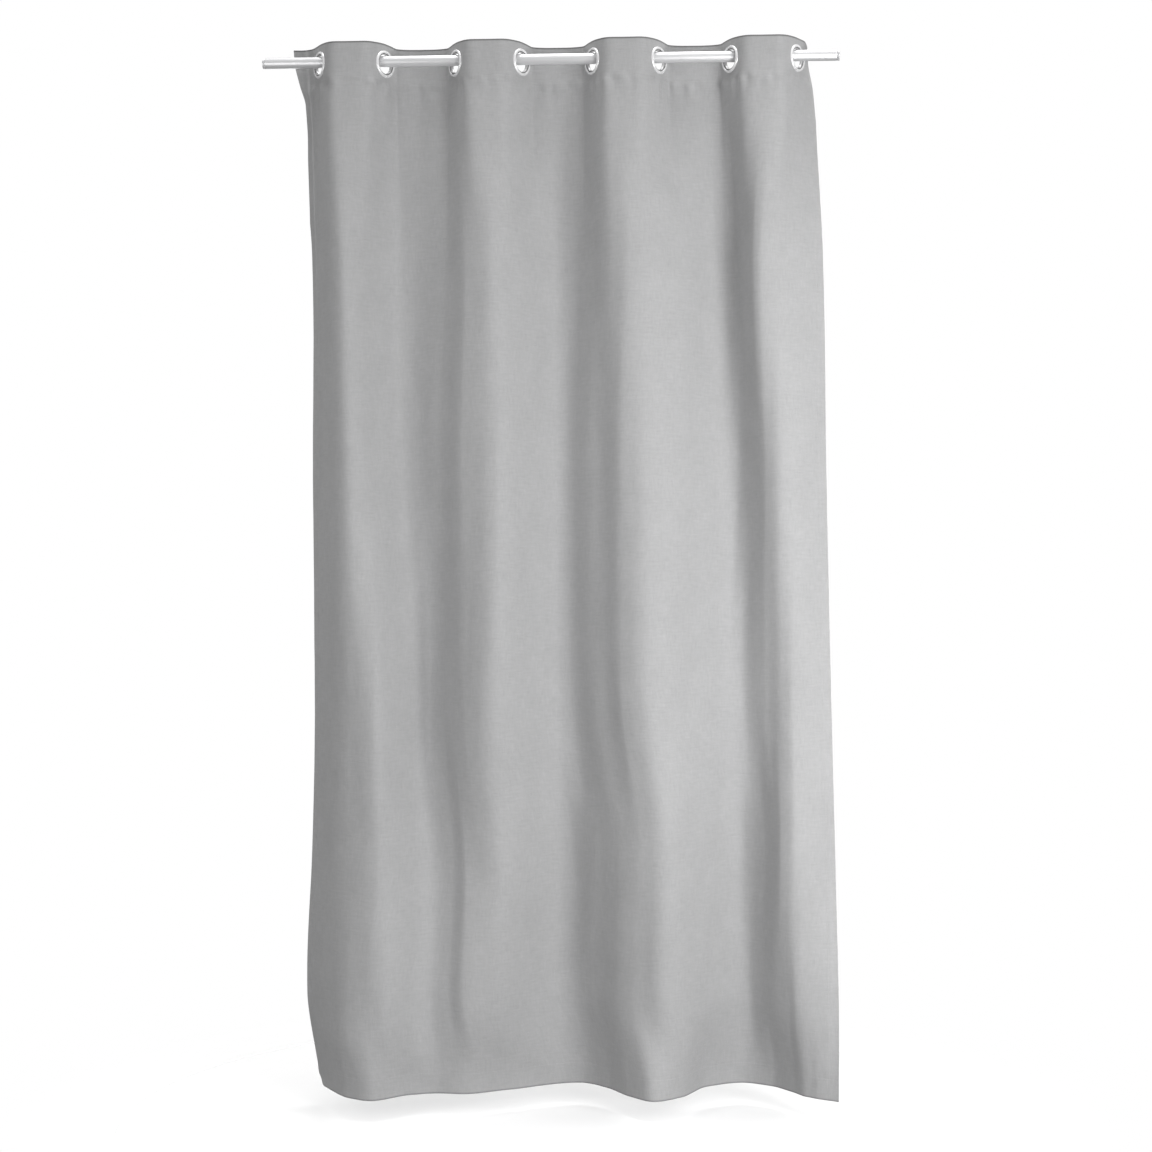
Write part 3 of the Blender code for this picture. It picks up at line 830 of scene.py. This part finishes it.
class Shader:
    """A material's nodes, written as calls: node("ShaderNodeX", setting=..., Input=value or an output)."""

    def __init__(self, name):
        self.material = bpy.data.materials.new(name)
        self.material.use_nodes = True
        self.tree = self.material.node_tree
        self.surface = self.tree.nodes["Principled BSDF"]

    def node(self, kind, inputs=(), **settings):
        made = self.tree.nodes.new(kind)
        for key, value in settings.items():
            setattr(made, key, value)
        for key, value in dict(inputs).items():
            self.plug(made, key, value)
        return made

    def plug(self, node, key, value):
        if isinstance(value, bpy.types.NodeSocket):
            self.tree.links.new(value, node.inputs[key])
        else:
            node.inputs[key].default_value = value

    def math(self, operation, *values):
        return self.node("ShaderNodeMath", dict(enumerate(values)), operation=operation).outputs[0]

    def noise(self, where, scale, stretch=(1, 1, 1), detail=2.0, roughness=0.5):
        scaled = self.node("ShaderNodeVectorMath", {0: where, 1: stretch}, operation="MULTIPLY").outputs[0]
        inputs = {"Vector": scaled, "Scale": scale, "Detail": detail, "Roughness": roughness}
        return self.node("ShaderNodeTexNoise", inputs).outputs["Fac"]

    def ramp(self, value, *stops):
        """A grey ramp through (place, grey) stops."""
        made = self.node("ShaderNodeValToRGB", {0: value})
        grey_stops(made.color_ramp, stops)
        return made.outputs[0]

    def between(self, value, low, high, start=0.0, end=1.0):
        """From low where the value is at the start, to high where it is at the end."""
        inputs = {"Value": value, "From Min": start, "From Max": end, "To Min": low, "To Max": high}
        return self.node("ShaderNodeMapRange", inputs).outputs[0]

    def scaled(self, colour, tone):
        return self.node("ShaderNodeVectorMath", {0: colour, "Scale": tone}, operation="SCALE").outputs[0]

    def bump(self, height, strength, distance):
        inputs = {"Height": height, "Strength": strength, "Distance": distance}
        self.plug(self.surface, "Normal", self.node("ShaderNodeBump", inputs).outputs[0])

    def finish(self, **values):
        """Sets inputs of the surface, named with _ for a space."""
        for key, value in values.items():
            self.plug(self.surface, key.replace("_", " "), value)
        return self.material


def woven(shader, where):
    """(height, warp on top) of a plain weave, from the place on the flat cloth in metres."""
    split = shader.node("ShaderNodeSeparateXYZ", {0: where})
    wobble = shader.noise(where, 90.0, (1, 1, 0), 1.0)
    yarns = []
    for axis, size in (("X", WARP_PITCH), ("Y", WEFT_PITCH)):
        place = shader.math("DIVIDE", split.outputs[axis], size)
        yarns.append(shader.math("ADD", place, shader.math("MULTIPLY", wobble, YARN_WANDER)))
    warp, weft = yarns
    both = shader.math("ADD", shader.math("FLOOR", warp), shader.math("FLOOR", weft))
    over = shader.math("FLOORED_MODULO", both, 2.0)
    waves = [shader.math("SINE", shader.math("MULTIPLY", yarn, math.pi)) for yarn in yarns]
    across, along = (shader.math("ABSOLUTE", wave) for wave in waves)
    warp_top = shader.math("MULTIPLY", across, shader.math("POWER", along, 0.5))
    weft_top = shader.math("MULTIPLY", along, shader.math("POWER", across, 0.5))
    mixed = shader.node("ShaderNodeMix", {"Factor": over, "A": weft_top, "B": warp_top})
    return mixed.outputs[0], over


def linen_material():
    """A plain weave with slubs and streaks, with painted shade at the top and bottom edges and a painted
    highlight along the left side hem's inner edge.
    """
    shader = Shader("grey_linen")
    where = shader.node("ShaderNodeAttribute", attribute_name="cloth").outputs["Vector"]
    place = shader.node("ShaderNodeSeparateXYZ", {0: where})
    along, down = place.outputs["X"], place.outputs["Y"]
    height, over = woven(shader, where)
    warp_slubs = shader.noise(where, 1.0, (1400, 38, 0), 1.0)
    weft_slubs = shader.noise(where, 1.0, (34, 1300, 0), 1.0)
    slubs = shader.node("ShaderNodeMix", {"Factor": over, "A": weft_slubs, "B": warp_slubs}).outputs[0]
    beside_hem = shader.math("ABSOLUTE", shader.math("SUBTRACT", along, SIDE_HEM))
    # A painted highlight along the left side hem's inner edge, fading out further down the cloth.
    painted_ridge_highlight = shader.math(
        "MULTIPLY",
        shader.between(beside_hem, 1.0, 0.0, 0.0015, 0.0055),
        shader.between(down, 0.22, 0.0, 0.35, 0.65),
    )
    tones = [
        shader.between(slubs, 0.80, 1.20),
        shader.between(shader.noise(where, 420.0, (1, 1, 0), 3.0, 0.6), 0.90, 1.10),
        shader.between(shader.noise(where, 16.0, (1, 0.7, 0), 4.0, 0.55), 0.93, 1.07),
        shader.between(shader.noise(where, 1.0, (170, 42, 0), 2.0), 0.93, 1.07),
        shader.between(shader.noise(where, 1.0, (32, 190, 0), 2.0), 0.93, 1.07),
        # Painted shade along the top edge and along the bottom edge, where the cloth turns over.
        shader.between(down, 0.36, 1.0, 0.0016, 0.0052),
        shader.between(down, 1.0, 0.55, PANEL_HEIGHT - 0.0045, PANEL_HEIGHT - 0.001),
        # The painted highlight along the left side hem's inner edge.
        shader.math("ADD", painted_ridge_highlight, 1.0),
        # Painted shade between the yarns, darker where the weave sits low.
        shader.between(height, 0.88, 1.05),
    ]
    tone = tones[0]
    for more in tones[1:]:
        tone = shader.math("MULTIPLY", tone, more)
    shader.bump(shader.math("ADD", height, shader.math("MULTIPLY", slubs, 1.2)), 0.35, 0.00022)
    return shader.finish(
        Base_Color=shader.scaled(LINEN, tone),
        Roughness=shader.between(slubs, 0.98, 0.82),
        Specular_IOR_Level=0.25,
        Sheen_Weight=0.18,
        Sheen_Roughness=0.45,
    )


def thread_material():
    shader = Shader("grey_thread")
    where = shader.node("ShaderNodeTexCoord").outputs["Object"]
    twist = shader.noise(where, 2600.0, (1, 1, 1), 1.0)
    shader.bump(twist, 0.3, 0.0001)
    return shader.finish(
        Base_Color=shader.ramp(twist, (0.3, 0.36), (0.7, 0.50)),
        Roughness=shader.between(twist, 0.55, 0.75),
        Sheen_Weight=0.2,
    )


def nickel_material():
    """Pale satin nickel, with painted shade by radius: dark in the groove and a little darker on the collar
    inside it.
    """
    shader = Shader("polished_nickel")
    where = shader.node("ShaderNodeTexCoord").outputs["Object"]
    smears = shader.noise(where, 70.0, (1, 1, 1), 4.0, 0.6)
    fine = shader.noise(where, 1500.0, (1, 1, 1), 2.0)
    radius = shader.node("ShaderNodeAttribute", attribute_name="radius").outputs["Fac"]
    across = shader.between(radius, 0.0, 1.0, bore_radius, eyelet_radius)
    outer = GROOVE_INSET / RIM_WIDTH
    inner = (GROOVE_INSET - GROOVE_WIDTH) / RIM_WIDTH
    # Painted shade by radius: the groove dark and the collar inside it a little darker than the dome.
    collar, groove, dome, soft = 0.74, 0.16, 1.0, 0.06
    painted_shade_zones = ((0.0, collar), (inner - soft, collar), (inner, groove), (outer, groove), (outer + soft, dome))
    tone = shader.math("MULTIPLY", shader.ramp(across, *painted_shade_zones), shader.between(smears, 0.90, 0.98))
    shader.bump(fine, 0.06, 0.0001)
    return shader.finish(
        Base_Color=shader.scaled(NICKEL, tone), Roughness=shader.between(smears, 0.18, 0.34), Metallic=0.35
    )


def steel_material(name, colour):
    """Satin steel, brushed along the rod."""
    shader = Shader(name)
    where = shader.node("ShaderNodeTexCoord").outputs["Object"]
    lines = shader.noise(where, 1.0, (14, 2600, 2600), 2.0, 0.6)
    cloudy = shader.noise(where, 30.0, (0.4, 1, 1), 3.0)
    tone = shader.math("MULTIPLY", shader.between(lines, 0.90, 1.08), shader.between(cloudy, 0.96, 1.03))
    shader.bump(lines, 0.12, 0.0001)
    return shader.finish(
        Base_Color=shader.scaled(colour, tone), Roughness=shader.between(lines, 0.34, 0.48), Metallic=0.55
    )


def build_floor():
    """A pale floor just under the hem, which fades out around the curtain."""
    z = bottom_z - FLOOR_BELOW
    around = 2 * math.pi * np.arange(FLOOR_STEPS) / FLOOR_STEPS
    points = [(FLOOR_RADIUS * math.cos(a), FLOOR_RADIUS * math.sin(a), z) for a in around]
    mesh = bpy.data.meshes.new("floor")
    mesh.from_pydata(points, [], [tuple(range(FLOOR_STEPS))])
    shader = Shader("pale_floor")
    where = shader.node("ShaderNodeTexCoord").outputs["Object"]
    flat = shader.node("ShaderNodeVectorMath", {0: where, 1: (1, 1, 0)}, operation="MULTIPLY").outputs[0]
    away = shader.node("ShaderNodeVectorMath", {0: flat}, operation="LENGTH").outputs["Value"]
    fade = {"Value": away, "From Min": 0.3, "From Max": 1.3, "To Min": 1.0, "To Max": 0.0}
    fade = shader.node("ShaderNodeMapRange", fade, interpolation_type="SMOOTHSTEP").outputs[0]
    pale = shader.ramp(shader.noise(where, 3.0, (1, 1, 1), 3.0), (0.3, 0.93), (0.7, 0.95))
    seen = shader.node("ShaderNodeLightPath").outputs["Is Camera Ray"]
    bounce = shader.between(seen, 0.35, 1.0)
    mesh.materials.append(
        shader.finish(
            Alpha=fade, Base_Color=shader.scaled(pale, bounce), Roughness=0.9, Specular_IOR_Level=0.1
        )
    )
    floor = bpy.data.objects.new("floor", mesh)
    bpy.context.scene.collection.objects.link(floor)


def build_world():
    """White behind the object; as light, brighter above than below."""
    world = bpy.data.worlds.new("studio")
    bpy.context.scene.world = world
    world.use_nodes = True
    tree = world.node_tree
    tree.nodes.clear()
    where = tree.nodes.new("ShaderNodeTexCoord")
    split = tree.nodes.new("ShaderNodeSeparateXYZ")
    ramp = tree.nodes.new("ShaderNodeValToRGB")
    rise = tree.nodes.new("ShaderNodeMapRange")
    lighting = tree.nodes.new("ShaderNodeBackground")
    white = tree.nodes.new("ShaderNodeBackground")
    rays = tree.nodes.new("ShaderNodeLightPath")
    mix = tree.nodes.new("ShaderNodeMixShader")
    out = tree.nodes.new("ShaderNodeOutputWorld")
    rise.inputs["From Min"].default_value = -1.0
    grey_stops(ramp.color_ramp, SKY)
    lighting.inputs["Strength"].default_value = AMBIENT
    white.inputs["Color"].default_value = (1, 1, 1, 1)
    link = tree.links.new
    link(where.outputs["Generated"], split.inputs[0])
    link(split.outputs["Z"], rise.inputs["Value"])
    link(rise.outputs[0], ramp.inputs[0])
    link(ramp.outputs[0], lighting.inputs["Color"])
    link(rays.outputs["Is Camera Ray"], mix.inputs[0])
    link(lighting.outputs[0], mix.inputs[1])
    link(white.outputs[0], mix.inputs[2])
    link(mix.outputs[0], out.inputs["Surface"])


def area_light(name, place, towards, size, watts, spread=180):
    """A rectangular light; its size is (width, height) and its spread is in degrees."""
    data = bpy.data.lights.new(name, "AREA")
    data.shape = "RECTANGLE"
    data.size, data.size_y = size
    data.energy = watts
    data.spread = math.radians(spread)
    light = bpy.data.objects.new(name, data)
    light.location = place
    light.rotation_mode = "QUATERNION"
    light.rotation_quaternion = (Vector(towards) - Vector(place)).to_track_quat("-Z", "Y")
    bpy.context.scene.collection.objects.link(light)


def build_camera():
    data = bpy.data.cameras.new("camera")
    data.sensor_width = 36.0
    data.lens = LENS
    data.clip_start, data.clip_end = 0.05, 50.0
    camera = bpy.data.objects.new("camera", data)
    camera.location = CAMERA
    camera.rotation_euler = (math.pi / 2 + CAMERA_PITCH, 0.0, CAMERA_YAW)
    bpy.context.scene.collection.objects.link(camera)
    bpy.context.scene.camera = camera


def main():
    bpy.context.scene.view_settings.view_transform = "Standard"
    build_camera()
    build_world()
    build_floor()
    middle = (0.0, 0.0, (top_z + bottom_z) / 2)
    area_light("key", (1.75, -2.6, -1.3), middle, size=(1.0, 2.0), watts=51.0)
    area_light("side", (1.25, -0.95, -1.15), (0.55, 0.0, -1.15), size=(0.3, 2.3), watts=12.5)
    area_light("fill", (-1.7, -1.9, -1.0), middle, size=(1.0, 1.4), watts=16.0)
    area_light("overhead", (0.3, 0.0, 2.6), (0.3, 0.0, 0.0), size=(3.0, 2.4), watts=24.0, spread=70)
    area_light("back", (-0.6, 2.8, -0.6), middle, size=(1.6, 2.0), watts=26.0)
    build_cloth(linen_material(), thread_material())
    build_eyelets(nickel_material())
    build_rod(steel_material("brushed_steel", ROD_STEEL), steel_material("rod_cap", CAP_STEEL))


main()
